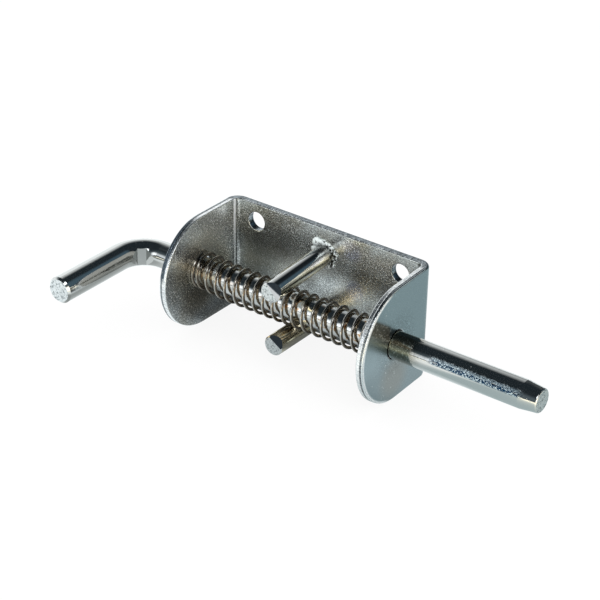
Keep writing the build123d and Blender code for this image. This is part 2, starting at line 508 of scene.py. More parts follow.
# Places are in millimetres. Four numbers are where something begins, is full, fades and ends. In a shade,
# the first two are the places or distances between which it changes, and the others how strong it is there.
sheet = {
    "insideDepth": (3.3, 3.45),  # into the sheet from its outer face
    "cutDepth": (0.1, 0.3, 3.3, 3.46),
    "earX": (46.0, 48.0),  # where an ear begins, out from the middle
    "plateY": (-6.0, -4.0),
    "edgeY": (-5.0, -8.0),  # where the edge is an ear's and no longer the plate's
    "grainSize": 0.42,
    "coarser": 2.6,  # the coarse grain against the fine one
    "patchSize": 20.0,
    # the plate
    "olive": (0.50, 0.503, 0.465),  # where the plating is thin
    "cool": (0.60, 0.64, 0.64),
    "cloudSize": 13.0,
    # patches of painted reflection and shade: x, z, reach and how much darker
    "clouds": (
        (-40, -3, 17, 0.3), (24, 5, 12, 0.15), (31, 5, 7, 0.32), (10, 0, 9, -0.5), (1, 2, 12, -0.15),
        (-9, -1, 7, 0.4), (-22, 12, 9, 0.2), (17, 11, 10, 0.14), (-14, 6, 8, -0.15),
    ),
    "paintedPatchCore": 0.2,  # the share of its reach within which it is full
    # heights between which a painted shade darkens it, and a painted light band lightens it
    "paintedShadeBand": (0.0, 3.5, 8.0, 10.5),
    "paintedShadeShare": 0.27,
    "lightBand": (10.0, 14.0, 18.0, 22.5),
    "lightShade": (-5.0, 15.0, 0.1, 0.55),  # towards the handle, and towards the tip
    "haze": (0.02, 0.08),
    "neutral": (0.93, 0.97, 1.2),  # against the stud's golden mirror images
    "neutralAt": ((13.0, 19.5, 6.0), (15.5, 1.5, 6.0)),  # x, z and reach
    "neutralCore": 0.4,
    # the inner face of the handle's ear, with painted shade and a painted golden reflection of the spring
    "leftShade": (-20.0, 4.0, 0.66, 1.45),  # upwards
    "boltShade": (20.0, 10.0, 1.0, 0.42),  # towards the bolt
    "besideNose": (-43.0, 10.0),  # a painted dark spot by the nose: y and z
    "besideShade": (14.0, 5.0, 1.0, 0.6),
    "springReflectionTint": (1.1, 0.96, 0.76),  # of the painted golden reflection of the spring round the bolt
    "springReflectionShade": (24.0, 12.0, 0.0, 0.8),
    # the outer faces
    "outside": (0.305, 0.375, 0.398),
    "outsideLeft": (0.42, 0.41, 0.38),
    "outsideWarm": (0.345, 0.35, 0.33),
    "outsideWarmAt": (-28.0, -15.0),  # y and z
    "outsideWarmShade": (14.0, 4.0, 0.0, 0.8),
    "lowShade": (0.0, -12.0, 1.0, 0.78),  # a painted shade, darker downwards
    # the painted mirror image of the bolt on the tip's ear: dark, with light grains
    "paintedShadeDark": (0.13, 0.125, 0.105),
    "paintedShadeLight": (0.42, 0.42, 0.38),
    "mirrorStripWay": (0.0, 0.569, 0.823),  # across the strip of painted mirror image, which goes out from the bolt
    "mirrorStripAcross": (-2.5, 1.0, 5.0, 6.5),
    "mirrorStripFront": (4.0, 6.0),  # how far in front of the bolt's middle it begins
    "scuffRough": 0.22,
    # the painted highlight along the nose: out from its middle, forwards, and into the sheet
    "noseEdge": (24.2, 25.2),
    "noseY": (-30.0, -36.0),
    "noseDepth": (0.5, 0.1),
    "noseHaze": 0.5,
    # grains: light ones on the darker ground, sparks, and the specks of the zinc
    "grainShade": (17.0, 8.0, 0.14, 0.8),  # on the outer faces, towards the bolt
    "patchShare": (0.45, 1.0),
    "sparks": ((1.1, 0.16, 0.22), (3.1, 0.4, 0.11)),  # cell, share of the cells and radius
    "sparkShare": 0.7,
    "speckSize": 0.7,
    "speckLight": 1.05,
    "speckDark": 0.42,
    "speckHaze": 0.36,
    "speckShade": (0.0, 14.0, 0.4, 0.95),  # upwards, and a little towards the tip
    "speckTurn": 0.25,
    "foldAngles": (5.0, 25.0, 70.0, 85.0),  # degrees round the inner bend, where the specks are faint
    "foldLight": (72.0, 24.0),  # the painted highlight line in the handle's bend: degrees, half width
    "foldLightX": (0.0, -40.0),
    "foldLightZ": (-2.0, 17.0),
    "foldHaze": 0.75,
    # the cut edges, where lines run across the sheet
    "rimTint": (0.20, 0.225, 0.24),  # the rear edge, and the outer part of the ears' edges
    "rimBright": (0.90, 0.93, 0.94),
    "rollTint": (0.86, 0.89, 0.90),  # the rounded side of the edges, polished by the punch
    "tearAndShadowTint": (0.09, 0.12, 0.15),
    # near white, for painted highlights: the burr, the sparks, the nose's edge and the bend
    "paintedHighlight": (0.93, 0.95, 0.96),
    "lineSize": 0.45,
    "tornDepth": (1.3, 0.8),
    "rolledDepth": (0.9, 0.6),
    "brightDepth": (1.4, 1.8),
    "burrDepth": (2.7, 3.0),
    "darkRimX": (-40.0, -45.0),  # the painted shadow on the edge of the handle's ear
    "darkRimZ": (2.0, 6.0, 24.6, 25.5),
    "darkRimDepth": (2.5, 2.1),
    # gloss and relief
    "roughness": 0.24,
    "outsideRoughness": 0.29,
    "fineRough": 0.14,  # what the fine grain adds
    "cutSmooth": 0.12,
    "fineHeight": 0.012,
    "coarseHeight": 0.035,
    "sparkHeight": 0.06,
    "speckHeight": 0.05,
    "lineHeight": 0.10,
    "ridge": (1.5, 0.3, 0.15),  # where it runs in the sheet's thickness, its half width and its height
    "foldRidge": (57.0, 16.0, 0.25),  # degrees round the inner bend from the plate, half width, height
    # the mesh: its sharp edges are broken
    "mergeWithin": 0.002,
    "flatWithin": 0.2,  # degrees, as the next two
    "sharpFrom": 50.0,
    "smoothTo": 35.0,
    "bevel": 0.45,
}


def placeInSheet(tree, coords):  # millimetres from the outer face into the sheet, and degrees round the bend
    x, y = split(tree, coords)[:2]
    bend = latch["bendOuter"] * mm
    lean = product(tree, y, calc(tree, "GREATER_THAN", x, 0), tan(radians(latch["earSplay"])))
    straight = calc(tree, "ADD", calc(tree, "ABSOLUTE", x), lean)
    alongX = calc(tree, "MAXIMUM", calc(tree, "SUBTRACT", straight, latch["plateLength"] / 2 * mm - bend), 0)
    alongY = calc(tree, "MAXIMUM", calc(tree, "ADD", y, bend), 0)
    squares = calc(tree, "ADD", product(tree, alongX, alongX), product(tree, alongY, alongY))
    depth = product(tree, calc(tree, "SUBTRACT", bend, calc(tree, "SQRT", squares)), 1 / mm)
    return depth, product(tree, calc(tree, "ARCTAN2", alongX, alongY), 180 / pi)


def ridgeAt(tree, value, middle, reach):  # full at the middle and gone at the reach, both ways
    return span(tree, value, middle - reach, middle, middle, middle + reach)


def plateTint(tree, coords, fine):  # the plating inside, with its clouds, painted patches and bands of reflection and shade, and neutral spots
    x, y, z = split(tree, coords)
    face = -latch["sheet"]
    onPlate = fadeAlong(tree, y, *sheet["plateY"])
    clouds = calc(tree, "ADD", grain(tree, coords, sheet["cloudSize"], 3), product(tree, fine, 0.2))
    tint = blendColour(tree, fade(tree, clouds, 0.45, 0.75), sheet["olive"], sheet["cool"])
    # patches of painted reflection and shade, darker or lighter at the listed places
    for cloudX, cloudZ, reach, darker in sheet["clouds"]:
        distance = away(tree, coords, (cloudX, face, cloudZ))
        dull = fadeAlong(tree, distance, reach, sheet["paintedPatchCore"] * reach, 0, darker)
        tint = darkened(tree, tint, product(tree, dull, onPlate))
    # a painted shade across the plate's middle heights, and a painted light band above it
    paintedShadeBand = product(tree, spanAlong(tree, z, sheet["paintedShadeBand"]), onPlate)
    tint = darkened(tree, tint, product(tree, paintedShadeBand, sheet["paintedShadeShare"]))
    lightBand = product(tree, spanAlong(tree, z, sheet["lightBand"]), onPlate)
    lightBand = product(tree, lightBand, fadeAlong(tree, x, *sheet["lightShade"]))
    tint = lightened(tree, tint, lightBand)
    for spotX, spotZ, reach in sheet["neutralAt"]:
        distance = away(tree, coords, (spotX, face, spotZ))
        share = product(tree, fadeAlong(tree, distance, reach, sheet["neutralCore"] * reach), onPlate)
        tint = blendColour(tree, share, tint, vector(tree, "MULTIPLY", tint, sheet["neutral"]))
    return tint, product(tree, lightBand, onPlate)


def leftEarTint(tree, coords, tint, onLeftEar, fromBolt):  # painted shade below, round the bolt and beside the nose, and a painted golden reflection of the spring round the bolt
    z = split(tree, coords)[2]
    besideNose = awayFromAxis(tree, coords, *sheet["besideNose"])
    # painted shade: darker below, round the bolt and beside the nose
    paintedLighting = product(
        tree,
        fadeAlong(tree, z, *sheet["leftShade"]),
        fadeAlong(tree, fromBolt, *sheet["boltShade"]),
        fadeAlong(tree, besideNose, *sheet["besideShade"]),
    )
    tint = tinted(tree, tint, mixed(tree, onLeftEar, 1.0, paintedLighting))
    # a painted golden reflection of the spring round the bolt
    warm = product(tree, onLeftEar, fadeAlong(tree, fromBolt, *sheet["springReflectionShade"]))
    return blendColour(tree, warm, tint, vector(tree, "MULTIPLY", tint, sheet["springReflectionTint"]))


def outsideTint(tree, coords, coarse, depth, inside):  # the outer faces' plating, with a painted mirror image of the bolt, painted shade below and a painted highlight along the nose
    x, y, z = split(tree, coords)
    earStart, earFull = sheet["earX"]
    toTip = fadeAlong(tree, x, -earFull, earFull)
    tint = blendColour(tree, toTip, sheet["outsideLeft"], sheet["outside"])
    warm = awayFromAxis(tree, coords, *sheet["outsideWarmAt"])
    warm = fadeAlong(tree, warm, *sheet["outsideWarmShade"])
    tint = blendColour(tree, warm, tint, sheet["outsideWarm"])
    # a painted shade, darker towards the bottom
    tint = tinted(tree, tint, fadeAlong(tree, z, *sheet["lowShade"]))
    # the bolt's mirror image on the tip's ear is painted as a blurred dark strip with light grains, and the
    # ear is rougher there
    across = vector(tree, "DOT_PRODUCT", coords, sheet["mirrorStripWay"])
    across = calc(tree, "ADD", across, -latch["boltY"] * sheet["mirrorStripWay"][1] * mm)
    before, full = (latch["boltY"] - number for number in sheet["mirrorStripFront"])
    scuffAndMirrorShade = product(
        tree,
        spanAlong(tree, across, sheet["mirrorStripAcross"]),
        fadeAlong(tree, x, earStart, earFull),
        fadeAlong(tree, y, before, full),
        fade(tree, inside, 1, 0),
    )
    paintedShadeTint = fade(tree, coarse, 0.5, 0.68)
    paintedShadeTint = blendColour(tree, paintedShadeTint, sheet["paintedShadeDark"], sheet["paintedShadeLight"])
    tint = blendColour(tree, scuffAndMirrorShade, tint, paintedShadeTint)
    # the nose's edge is rolled over softly, and the light line beside it is a painted highlight
    fromNose = awayFromAxis(tree, coords, latch["height"] / 2 - latch["earDepth"])
    paintedNoseHighlight = product(
        tree,
        fadeAlong(tree, fromNose, *sheet["noseEdge"]),
        fadeAlong(tree, y, *sheet["noseY"]),
        fade(tree, depth, *sheet["noseDepth"]),
    )
    return blendColour(tree, paintedNoseHighlight, tint, sheet["paintedHighlight"]), scuffAndMirrorShade, paintedNoseHighlight


def edgeTint(tree, coords, depth, onEar, coarse, speck, lines):  # darker and torn outside, bright inside, with a painted shadow on the handle's ear and a painted highlight along the burr
    x, z = split(tree, coords)[::2]
    bright = product(tree, fade(tree, depth, *sheet["brightDepth"]), onEar)
    tint = blendColour(tree, bright, sheet["rimTint"], sheet["rimBright"])
    lineShare = product(tree, fade(tree, lines, 0.38, 0.62, -1, 1), fade(tree, bright, 0, 1, 0.6, 0.22))
    tint = lightened(tree, tint, lineShare)
    torn = product(tree, fade(tree, depth, *sheet["tornDepth"]), fade(tree, lines, 0.32, 0.46))
    tint = blendColour(tree, product(tree, torn, fade(tree, onEar, 1, 0)), tint, sheet["tearAndShadowTint"])
    rolled = product(tree, fade(tree, depth, *sheet["rolledDepth"]), onEar)
    tint = blendColour(tree, rolled, tint, sheet["rollTint"])
    shadow = product(
        tree,
        onEar,
        fadeAlong(tree, x, *sheet["darkRimX"]),
        spanAlong(tree, z, sheet["darkRimZ"]),
        fade(tree, depth, *sheet["darkRimDepth"]),
        fade(tree, speck, 0.66, 0.6),
    )
    tint = blendColour(tree, shadow, tint, sheet["tearAndShadowTint"])
    # a painted highlight along the burr at the inner edge
    burrHighlight = product(tree, fade(tree, depth, *sheet["burrDepth"]), fade(tree, coarse, 0.5, 0.58))
    return blendColour(tree, burrHighlight, tint, sheet["paintedHighlight"])


def makeSheetZinc():
    material, tree, shader = startMetal("sheetZinc")
    coords = objectCoords(tree)
    x, y, z = split(tree, coords)
    depth, fold = placeInSheet(tree, coords)
    inside = fade(tree, depth, *sheet["insideDepth"])
    cut = span(tree, depth, *sheet["cutDepth"])
    onEar = fadeAlong(tree, y, *sheet["edgeY"])
    onLeftEar = fadeAlong(tree, x, *(-number for number in sheet["earX"]))
    fromBolt = awayFromAxis(tree, coords, latch["boltY"])
    fine = grain(tree, coords, sheet["grainSize"], 3, 0.75)
    coarse = grain(tree, coords, sheet["coarser"] * sheet["grainSize"], 3, 0.7)
    speck = grain(tree, coords, sheet["speckSize"], 3, 0.7)
    patches = fade(tree, grain(tree, coords, sheet["patchSize"], 2), 0.4, 0.62)
    tint, lightBand = plateTint(tree, coords, fine)
    tint = leftEarTint(tree, coords, tint, onLeftEar, fromBolt)
    outside, scuffAndMirrorShade, paintedNoseHighlight = outsideTint(tree, coords, coarse, depth, inside)
    tint = blendColour(tree, inside, outside, tint)
    # light grains on the darker ground, strongest in patches of the inner faces
    scuffAndShadeZone = fadeAlong(tree, fromBolt, *sheet["grainShade"])
    strength = mixed(tree, inside, scuffAndShadeZone, fade(tree, patches, 0, 1, *sheet["patchShare"]))
    light = fade(tree, coarse, 0.56, 0.7, 0.0, 0.25)
    light = calc(tree, "ADD", fade(tree, fine, 0.5, 0.66, 0.0, 1.3), light)
    tint = lightened(tree, tint, product(tree, strength, calc(tree, "SUBTRACT", light, 0.4)))
    sparks = calc(tree, "MAXIMUM", *(specks(tree, coords, *kind) for kind in sheet["sparks"]))
    tint = blendColour(tree, product(tree, sparks, sheet["sparkShare"]), tint, sheet["paintedHighlight"])
    # the zinc's specks, strongest on the ears and on the plate's tip side
    grained = calc(tree, "ADD", z, product(tree, x, sheet["speckTurn"]))
    grained = fadeAlong(tree, grained, *sheet["speckShade"])
    grained = calc(tree, "MAXIMUM", grained, product(tree, onLeftEar, sheet["speckShade"][3]))
    inFold = fade(tree, span(tree, fold, *sheet["foldAngles"]), 1, 0, 0.3, 1.0)
    grained = product(tree, grained, fade(tree, patches, 0, 1, 0.6, 1.0), inside, inFold)
    lightSpeck = product(tree, fade(tree, speck, 0.54, 0.64), grained)
    darkSpeck = product(tree, fade(tree, speck, 0.47, 0.4), grained)
    tint = lightened(tree, tint, product(tree, lightSpeck, sheet["speckLight"]))
    tint = darkened(tree, tint, product(tree, darkSpeck, sheet["speckDark"]))
    # a painted highlight line in the handle's bend
    foldLight = product(
        tree,
        ridgeAt(tree, fold, *sheet["foldLight"]),
        inside,
        fadeAlong(tree, x, *sheet["foldLightX"]),
        fadeAlong(tree, z, *sheet["foldLightZ"]),
    )
    tint = blendColour(tree, foldLight, tint, sheet["paintedHighlight"])
    # what scatters light like paint, and not like a mirror
    haze = fade(tree, lightBand, 0, 0.7, *sheet["haze"])
    haze = calc(tree, "ADD", haze, product(tree, lightSpeck, sheet["speckHaze"]))
    haze = product(tree, haze, inside, fade(tree, cut, 1, 0))
    haze = calc(tree, "ADD", haze, product(tree, paintedNoseHighlight, sheet["noseHaze"]))
    haze = calc(tree, "ADD", haze, product(tree, foldLight, sheet["foldHaze"]))
    plug(tree, calc(tree, "SUBTRACT", 1.0, haze, clamp=True), shader.inputs["Metallic"])
    size = sheet["lineSize"]
    plateLines = grain(tree, stretched(tree, coords, (1.0, 0.25, 0.5)), size, 3, 0.7)
    earLines = grain(tree, stretched(tree, coords, (0.25, 1.0, 1.0)), size, 3, 0.7)
    lines = mixed(tree, onEar, plateLines, earLines)
    edge = edgeTint(tree, coords, depth, onEar, coarse, speck, lines)
    plug(tree, blendColour(tree, cut, tint, edge), shader.inputs["Base Color"])
    base = (sheet[name] - sheet["fineRough"] / 2 for name in ("outsideRoughness", "roughness"))
    rough = fade(tree, inside, 0, 1, *base)
    rough = calc(tree, "ADD", rough, product(tree, scuffAndMirrorShade, sheet["scuffRough"]))
    rough = calc(tree, "ADD", rough, product(tree, fine, sheet["fineRough"]))
    rough = calc(tree, "SUBTRACT", rough, product(tree, cut, sheet["cutSmooth"]))
    plug(tree, rough, shader.inputs["Roughness"])
    ridgeDepth, ridgeReach, ridgeHeight = sheet["ridge"]
    foldAngle, foldReach, foldHeight = sheet["foldRidge"]
    surface = bumps(
        tree,
        (fine, sheet["fineHeight"]),
        (product(tree, coarse, strength), sheet["coarseHeight"]),
        (sparks, sheet["sparkHeight"]),
        (product(tree, speck, grained), sheet["speckHeight"]),
        (product(tree, lines, cut), sheet["lineHeight"]),
        (product(tree, coarse, cut, onEar), sheet["lineHeight"]),
        (product(tree, ridgeAt(tree, depth, ridgeDepth, ridgeReach), onEar), ridgeHeight),
        (product(tree, ridgeAt(tree, fold, foldAngle, foldReach), inside), foldHeight),
    )
    plug(tree, surface, shader.inputs["Normal"])
    return material


def makeBracket(material):
    piece = bpy.data.objects.new("BracketSheet", nodes["bracket"].data.copy())
    bpy.context.scene.collection.objects.link(piece)
    selectOnly(piece)
    bpy.ops.mesh.customdata_custom_splitnormals_clear()
    bpy.ops.object.mode_set(mode="EDIT")
    bpy.ops.mesh.select_all(action="SELECT")
    bpy.ops.mesh.remove_doubles(threshold=sheet["mergeWithin"] * mm)
    bpy.ops.mesh.dissolve_limited(angle_limit=radians(sheet["flatWithin"]))
    bpy.ops.object.mode_set(mode="OBJECT")
    soft = piece.modifiers.new("edges", "BEVEL")
    soft.width = sheet["bevel"] * mm
    soft.segments = 3
    soft.limit_method = "ANGLE"
    soft.angle_limit = radians(sheet["sharpFrom"])
    soft.use_clamp_overlap = False
    applyAll(piece)
    selectOnly(piece)
    bpy.ops.object.shade_smooth_by_angle(angle=radians(sheet["smoothTo"]))
    flat = piece.modifiers.new("flat", "WEIGHTED_NORMAL")
    flat.keep_sharp = True
    applyAll(piece)
    finish(piece, "bracket", "bracket", material)


# Bars: bright zinc on drawn bar, with sheared ends

bar = {
    "tint": (0.62, 0.63, 0.62),
    "roughness": 0.08,
    "fineRough": 0.06,
    "squareOn": (0.95, 0.985),  # cosines between which a face counts as facing along an axis
    "fineSize": 0.5,
    "ruggedSize": 0.9,
    "drawnSize": 0.45,
    "waveSize": 2.2,
    "pits": (1.5, 0.12, 0.2),  # cell, share of the cells and radius
    "cutTint": (0.80, 0.84, 0.85),
    "cutDark": (0.26, 0.29, 0.30),
    "cutRoughness": 0.3,
    "drawnHeight": 0.0045,
    "waveHeight": 0.02,
    "pitHeight": 0.05,
    "cutHeight": 0.3,
}

# Places are in millimetres. Four numbers are where something begins, is full, fades and ends.
bolt = {
    "handleX": (-60.0, -70.0),  # where the bar has turned into the handle
    "handleCutY": (-70.0, -74.0),
    "tipCutX": (110.0, 112.0),
    "tipShare": 0.75,  # a painted shade: how light the cut is at the tip, against the handle's end
    # the worn stretch, with painted reflections: dark and light specks, and a painted highlight along its
    # top
    "wornX": (70.0, 75.0, 112.0, 116.0),
    "wornZ": (1.0, 1.7, 3.9, 4.5),
    "wornFront": (0.0, 2.0),  # how far in front of the bolt's middle it begins
    "paintedHighlightLine": (2.7, 3.3, 3.8, 4.3),  # its brightest part, a painted highlight along the top
    "paintedDarkReflection": (0.015, 0.06, 0.13),
    "paintedLightReflection": (0.80, 0.95, 1.0),
    "wornMatt": 0.3,
    "lineShare": 0.5,
    "dotSize": 0.8,
    "streakSize": 1.3,
    "mattShade": (84.0, 100.0, 1.0, 0.4),  # how it goes on towards the tip
    "wornHeight": 0.16,
    # the painted shade on the stretch beside the tip's ear
    "earShadeX": (50.0, 52.0, 60.0, 70.0),
    "earShadeZ": (-4.0, -0.5),
    "paintedShadeDark": (0.24, 0.225, 0.175),
    "paintedShadeLight": (0.62, 0.60, 0.52),
    # brown stain under the spring, which also stands in for a painted golden reflection of the coils
    "stainAndCoilReflection": (0.50, 0.33, 0.19),
    "stainX": (-50.0, -46.0, 40.0, 44.0),
    "stainShade": (-30.0, 5.0, 0.3, 1.0),
    "stainSize": 2.1,
    "stainGrain": 1.3,  # of its relief
    "stainHeight": 0.05,
    "underUp": (-0.72, -0.6, -0.1, 0.1),  # how far up the handle's side with painted shade faces
    "underShadeTint": (0.29, 0.30, 0.29),
}

stud = {
    "goldenReflection": (0.80, 0.74, 0.58),  # a painted golden reflection on the side towards the tip
    "goldenReflectionAt": (90.0, -10.0),  # degrees round from +Y and up, which way that side faces
    "goldenReflectionWidth": (0.75, 0.97),  # cosines of the angle from there, between which it comes in
    "dullAt": (90.0, 78.0),  # a painted shade along the top
    "topShadeWidth": (0.9, 0.98),
    "paintedShadeShare": 0.45,
    "paintedLightAndShade": (0.82, 0.70, 0.50),  # a painted golden reflection on the lower stud's upper side
    "paintedMirrorUp": (0.0, 0.4),
    # where the shear crushed the ends: the sloped faces get a painted shade, and painted light above the
    # end's middle, where they are also matt
    "slopeWidth": (0.7, 0.78, 0.86, 0.92),  # how far such a face faces forwards
    "paintedSlopeShading": (0.22, 0.23, 0.25),
    "slopeLitTint": (0.80, 0.82, 0.83),
    "slopeLitZ": (3.0, 2.3),  # over the end's middle
    "slopeLitTilt": 0.75,
    "crushedMatt": 0.75,
    "middleX": (-0.8, 1.8),  # of the lower and the upper stud's end
    "middleZ": (-13.9, 13.9),
    "footY": (-13.0, -6.0),  # where it gets darker and duller towards the weld; the darkening is a painted shade
    "footShade": 0.55,
    "footRough": 0.14,
    "cutShares": (0.92, 0.78),  # a painted shade: how light the cut is on the upper and the lower stud
}


def uneven(tree, roughness, fine):  # a little more or less, with the fine grain
    share = bar["fineRough"]
    return calc(tree, "ADD", roughness - share / 2, product(tree, fine, share))


def facing(tree, normal, way, width):  # comes in between two cosines of the angle from a direction
    return fade(tree, vector(tree, "DOT_PRODUCT", normal, way), *width)


def boltTint(tree, shader, coords, normal, onHandle):  # worn on top with painted reflections, painted shade by the ear and on the handle's lower side, stained and painted with the coils' reflection in the spring
    x, y, z = split(tree, coords)
    tint = bar["tint"]
    dots = grain(tree, coords, bolt["dotSize"], 3, 0.75)
    streak = grain(tree, stretched(tree, coords, (0.25, 1, 1)), bolt["streakSize"], 3)
    before, full = (latch["boltY"] - number for number in bolt["wornFront"])
    wornAndGlinting = product(
        tree,
        spanAlong(tree, x, bolt["wornX"]),
        spanAlong(tree, z, bolt["wornZ"]),
        fadeAlong(tree, y, before, full),
        fade(tree, streak, 0.28, 0.42),
    )
    # painted reflections on the worn stretch: dark and light specks, and a highlight line along its top
    line = product(tree, spanAlong(tree, z, bolt["paintedHighlightLine"]), bolt["lineShare"])
    share = calc(tree, "ADD", fade(tree, dots, 0.51, 0.56), line, clamp=True)
    paintedGlintTint = blendColour(tree, share, bolt["paintedDarkReflection"], bolt["paintedLightReflection"])
    tint = blendColour(tree, wornAndGlinting, tint, paintedGlintTint)
    matt = fadeAlong(tree, x, *bolt["mattShade"])
    matt = product(tree, wornAndGlinting, share, matt, bolt["wornMatt"])
    plug(tree, calc(tree, "SUBTRACT", 1.0, matt), shader.inputs["Metallic"])
    # a painted shade on the stretch beside the tip's ear
    paintedShadeTint = fade(tree, dots, 0.5, 0.66)
    paintedShadeTint = blendColour(tree, paintedShadeTint, bolt["paintedShadeDark"], bolt["paintedShadeLight"])
    scuffAndShadeZone = spanAlong(tree, x, bolt["earShadeX"])
    scuffAndShadeZone = product(tree, scuffAndShadeZone, fadeAlong(tree, z, *bolt["earShadeZ"]))
    tint = blendColour(tree, scuffAndShadeZone, tint, paintedShadeTint)
    # brown spots under the spring: a stain, and a painted golden reflection of the coils
    inSpring = spanAlong(tree, x, bolt["stainX"])
    spots = fade(tree, grain(tree, coords, bolt["stainSize"], 3), 0.55, 0.68)
    stainedAndMirrored = product(tree, inSpring, spots, fadeAlong(tree, x, *bolt["stainShade"]))
    tint = blendColour(tree, stainedAndMirrored, tint, bolt["stainAndCoilReflection"])
    # a painted shade on the handle's side that faces down
    under = product(tree, onHandle, span(tree, split(tree, normal)[2], *bolt["underUp"]))
    tint = blendColour(tree, under, tint, bolt["underShadeTint"])
    relief = (
        (product(tree, dots, wornAndGlinting), bolt["wornHeight"]),
        (product(tree, grain(tree, coords, bolt["stainGrain"], 2), inSpring), bolt["stainHeight"]),
    )
    return tint, relief


def studTint(tree, shader, coords, normal, lower, foot):  # painted golden reflections on a side and on the lower stud's top, painted shade along the top, by the foot and on the sloped end faces, and painted light where the end is crushed
    x, z = split(tree, coords)[::2]
    # a painted golden reflection on the side towards the tip
    goldenReflection = facing(tree, normal, direction(*stud["goldenReflectionAt"]), stud["goldenReflectionWidth"])
    tint = blendColour(tree, goldenReflection, bar["tint"], stud["goldenReflection"])
    # a painted golden reflection on the lower stud's upper side
    paintedMirror = product(tree, lower, fade(tree, split(tree, normal)[2], *stud["paintedMirrorUp"]))
    tint = blendColour(tree, paintedMirror, tint, stud["paintedLightAndShade"])
    # a painted shade along the top
    topShade = facing(tree, normal, direction(*stud["dullAt"]), stud["topShadeWidth"])
    tint = darkened(tree, tint, product(tree, topShade, stud["paintedShadeShare"]))
    # a painted shade towards the weld
    tint = tinted(tree, tint, fade(tree, foot, 0, 1, 1.0, stud["footShade"]))
    upper = fadeAlong(tree, z, -1, 1)
    middleX = product(tree, mixed(tree, upper, *stud["middleX"]), mm)
    middleZ = product(tree, mixed(tree, upper, *stud["middleZ"]), mm)
    # painted light above a tilted line over the end's middle, and painted shade below it, on the sloped
    # faces
    aside = product(tree, calc(tree, "SUBTRACT", x, middleX), stud["slopeLitTilt"])
    above = calc(tree, "ADD", calc(tree, "SUBTRACT", z, middleZ), aside)
    slopeLit = fadeAlong(tree, above, *stud["slopeLitZ"])
    slope = span(tree, vector(tree, "DOT_PRODUCT", normal, (0, -1, 0)), *stud["slopeWidth"])
    paintedSlopeShading = blendColour(tree, slopeLit, stud["paintedSlopeShading"], stud["slopeLitTint"])
    matt = product(tree, slope, slopeLit, stud["crushedMatt"])
    plug(tree, calc(tree, "SUBTRACT", 1.0, matt), shader.inputs["Metallic"])
    return blendColour(tree, slope, tint, paintedSlopeShading)


def makeBarZinc(name, isBolt):
    material, tree, shader = startMetal(name)
    coords = objectCoords(tree)
    x, y, z = split(tree, coords)
    normal = tree.nodes.new("ShaderNodeTexCoord").outputs["Normal"]
    fine = grain(tree, coords, bar["fineSize"], 3)
    rugged = grain(tree, coords, bar["ruggedSize"], 4, 0.7)
    alongX = grain(tree, stretched(tree, coords, (0.03, 1, 1)), bar["drawnSize"], 3, 0.6)
    alongY = grain(tree, stretched(tree, coords, (1, 0.03, 1)), bar["drawnSize"], 3, 0.6)
    cut = facing(tree, normal, (0, -1, 0), bar["squareOn"])
    rough = uneven(tree, bar["roughness"], fine)
    if isBolt:
        onHandle = fadeAlong(tree, x, *bolt["handleX"])
        drawn = mixed(tree, onHandle, alongX, alongY)
        tip = facing(tree, normal, (1, 0, 0), bar["squareOn"])
        tip = product(tree, tip, fadeAlong(tree, x, *bolt["tipCutX"]))
        cut = calc(tree, "MAXIMUM", product(tree, cut, fadeAlong(tree, y, *bolt["handleCutY"])), tip)
        cutShare = fade(tree, tip, 0, 1, 1.0, bolt["tipShare"])
        tint, relief = boltTint(tree, shader, coords, normal, onHandle)
    else:
        drawn = alongY
        lower = fadeAlong(tree, z, 1, -1)
        foot = fadeAlong(tree, y, *stud["footY"])
        cutShare = fade(tree, lower, 0, 1, *stud["cutShares"])
        tint, relief = studTint(tree, shader, coords, normal, lower, foot), ()
        rough = calc(tree, "ADD", rough, product(tree, foot, stud["footRough"]))
    cutTint = blendColour(tree, fade(tree, rugged, 0.36, 0.52), bar["cutDark"], bar["cutTint"])
    plug(tree, blendColour(tree, cut, tint, tinted(tree, cutTint, cutShare)), shader.inputs["Base Color"])
    rough = calc(tree, "ADD", rough, product(tree, cut, bar["cutRoughness"] - bar["roughness"]))
    plug(tree, rough, shader.inputs["Roughness"])
    surface = bumps(
        tree,
        (drawn, bar["drawnHeight"]),
        (grain(tree, coords, bar["waveSize"], 2), bar["waveHeight"]),
        (specks(tree, coords, *bar["pits"]), bar["pitHeight"]),
        *relief,
        (product(tree, rugged, cut), bar["cutHeight"]),
    )
    plug(tree, surface, shader.inputs["Normal"])
    return material


plainFinish = {
    # tint and roughness
    "washerZinc": ((0.58, 0.58, 0.58), 0.3),
    "pinSteel": ((0.4, 0.4, 0.41), 0.3),
}


def makePlain(name):
    material, tree, shader = startMetal(name)
    tint, roughness = plainFinish[name]
    fine = grain(tree, objectCoords(tree), bar["fineSize"], 3)
    shader.inputs["Base Color"].default_value = (*tint, 1)
    plug(tree, uneven(tree, roughness, fine), shader.inputs["Roughness"])
    return material


def dress(node, material):
    nodes[node].data.materials.clear()
    nodes[node].data.materials.append(material)


makeBracket(makeSheetZinc())
dress("bolt", makeBarZinc("boltZinc", True))
studZinc = makeBarZinc("studZinc", False)
dress("upper_stud", studZinc)
dress("lower_stud", studZinc)
dress("retaining_washer", makePlain("washerZinc"))
dress("cross_pin", makePlain("pinSteel"))
print("finishes ready")

# Spring: one round wire, closed and ground at both ends, hanging on the bolt

